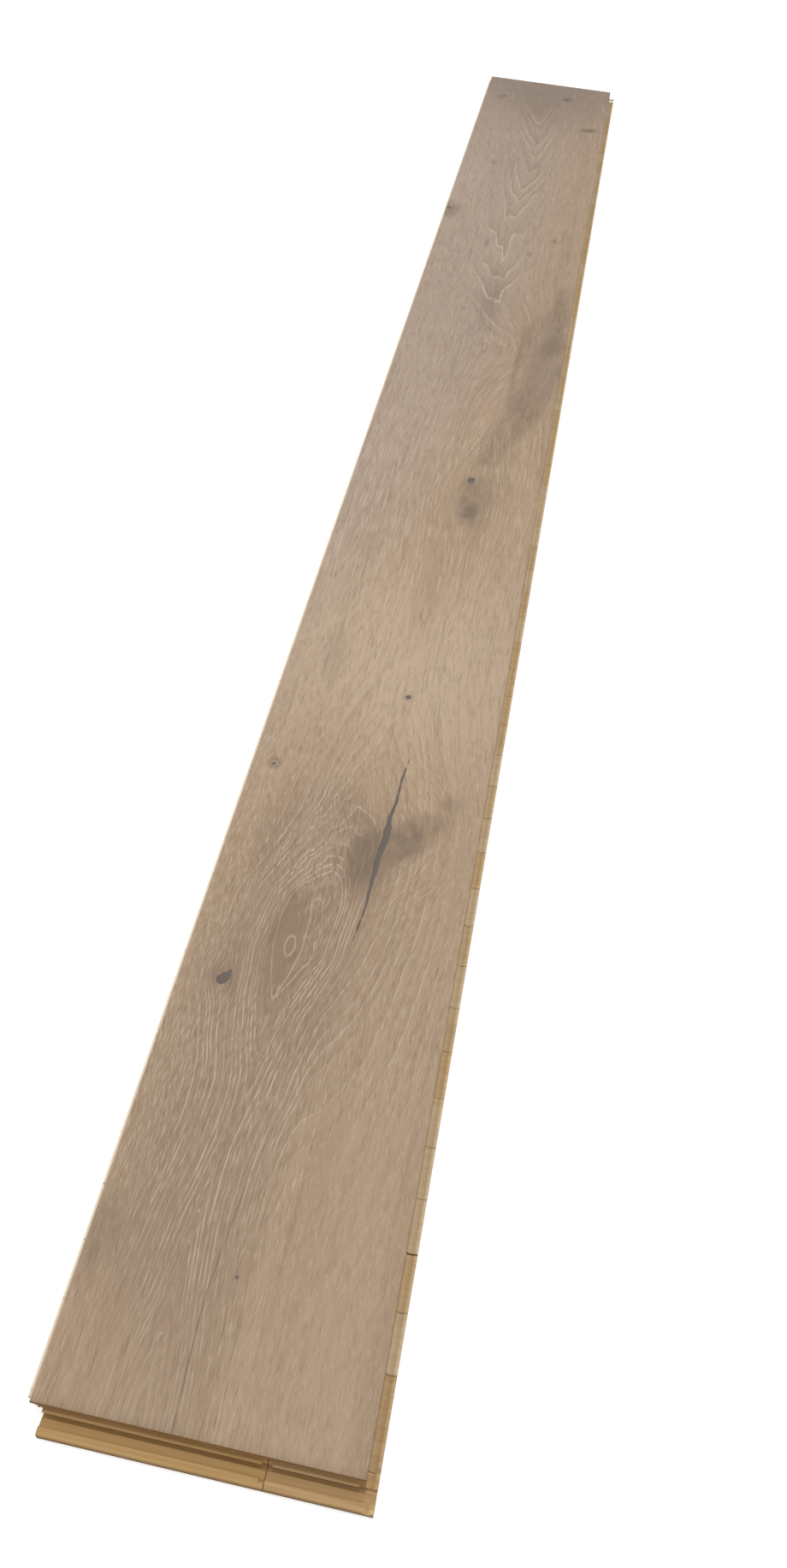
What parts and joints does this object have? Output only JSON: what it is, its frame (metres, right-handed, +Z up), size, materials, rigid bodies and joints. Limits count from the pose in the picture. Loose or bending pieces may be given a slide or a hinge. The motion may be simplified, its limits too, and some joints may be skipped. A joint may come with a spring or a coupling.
{
  "type": "wide plank floorboard",
  "caption": "Wide three-layer oak floorboard with a limed, brushed face, a cross-laid softwood slat core, tongue and groove long edges and snap-lock short edges.",
  "frame": {"origin": "middle of the laying rectangle, on the underside", "axes": "+Z up out of the oak face, +Y along the board towards the socket end, +X towards the long groove edge"},
  "size_m": [0.2105, 2.2146, 0.014],
  "materials": {
    "limed_oak": "brushed and limed, matt oiled",
    "core_softwood": "machined bare softwood",
    "backing_softwood": "rotary-cut bare veneer"
  },
  "bodies": {
    "root": {"backing_veneer": "backing_softwood", "core_slat_01": "core_softwood", "core_slat_02": "core_softwood", "core_slat_03": "core_softwood", "core_slat_04": "core_softwood", "core_slat_05": "core_softwood", "core_slat_06": "core_softwood", "core_slat_07": "core_softwood", "core_slat_08": "core_softwood", "core_slat_09": "core_softwood", "core_slat_10": "core_softwood", "core_slat_11": "core_softwood", "core_slat_12": "core_softwood", "core_slat_13": "core_softwood", "core_slat_14": "core_softwood", "core_slat_15": "core_softwood", "core_slat_16": "core_softwood", "core_slat_17": "core_softwood", "core_slat_18": "core_softwood", "core_slat_19": "core_softwood", "core_slat_20": "core_softwood", "core_slat_21": "core_softwood", "core_slat_22": "core_softwood", "core_slat_23": "core_softwood", "core_slat_24": "core_softwood", "core_slat_25": "core_softwood", "core_slat_26": "core_softwood", "core_slat_27": "core_softwood", "core_slat_28": "core_softwood", "core_slat_29": "core_softwood", "core_slat_30": "core_softwood", "core_slat_31": "core_softwood", "core_slat_32": "core_softwood", "core_slat_33": "core_softwood", "core_slat_34": "core_softwood", "core_slat_35": "core_softwood", "core_slat_36": "core_softwood", "core_slat_37": "core_softwood", "core_slat_38": "core_softwood", "core_slat_39": "core_softwood", "core_slat_40": "core_softwood", "core_slat_41": "core_softwood", "core_slat_42": "core_softwood", "core_slat_43": "core_softwood", "core_slat_44": "core_softwood", "core_slat_45": "core_softwood", "core_slat_46": "core_softwood", "core_slat_47": "core_softwood", "core_slat_48": "core_softwood", "core_slat_49": "core_softwood", "core_slat_50": "core_softwood", "core_slat_51": "core_softwood", "core_slat_52": "core_softwood", "core_slat_53": "core_softwood", "core_slat_54": "core_softwood", "core_slat_55": "core_softwood", "core_slat_56": "core_softwood", "end_slat_left": "core_softwood", "end_slat_right": "core_softwood", "oak_wear_layer": "limed_oak"}
  },
  "joints": []
}
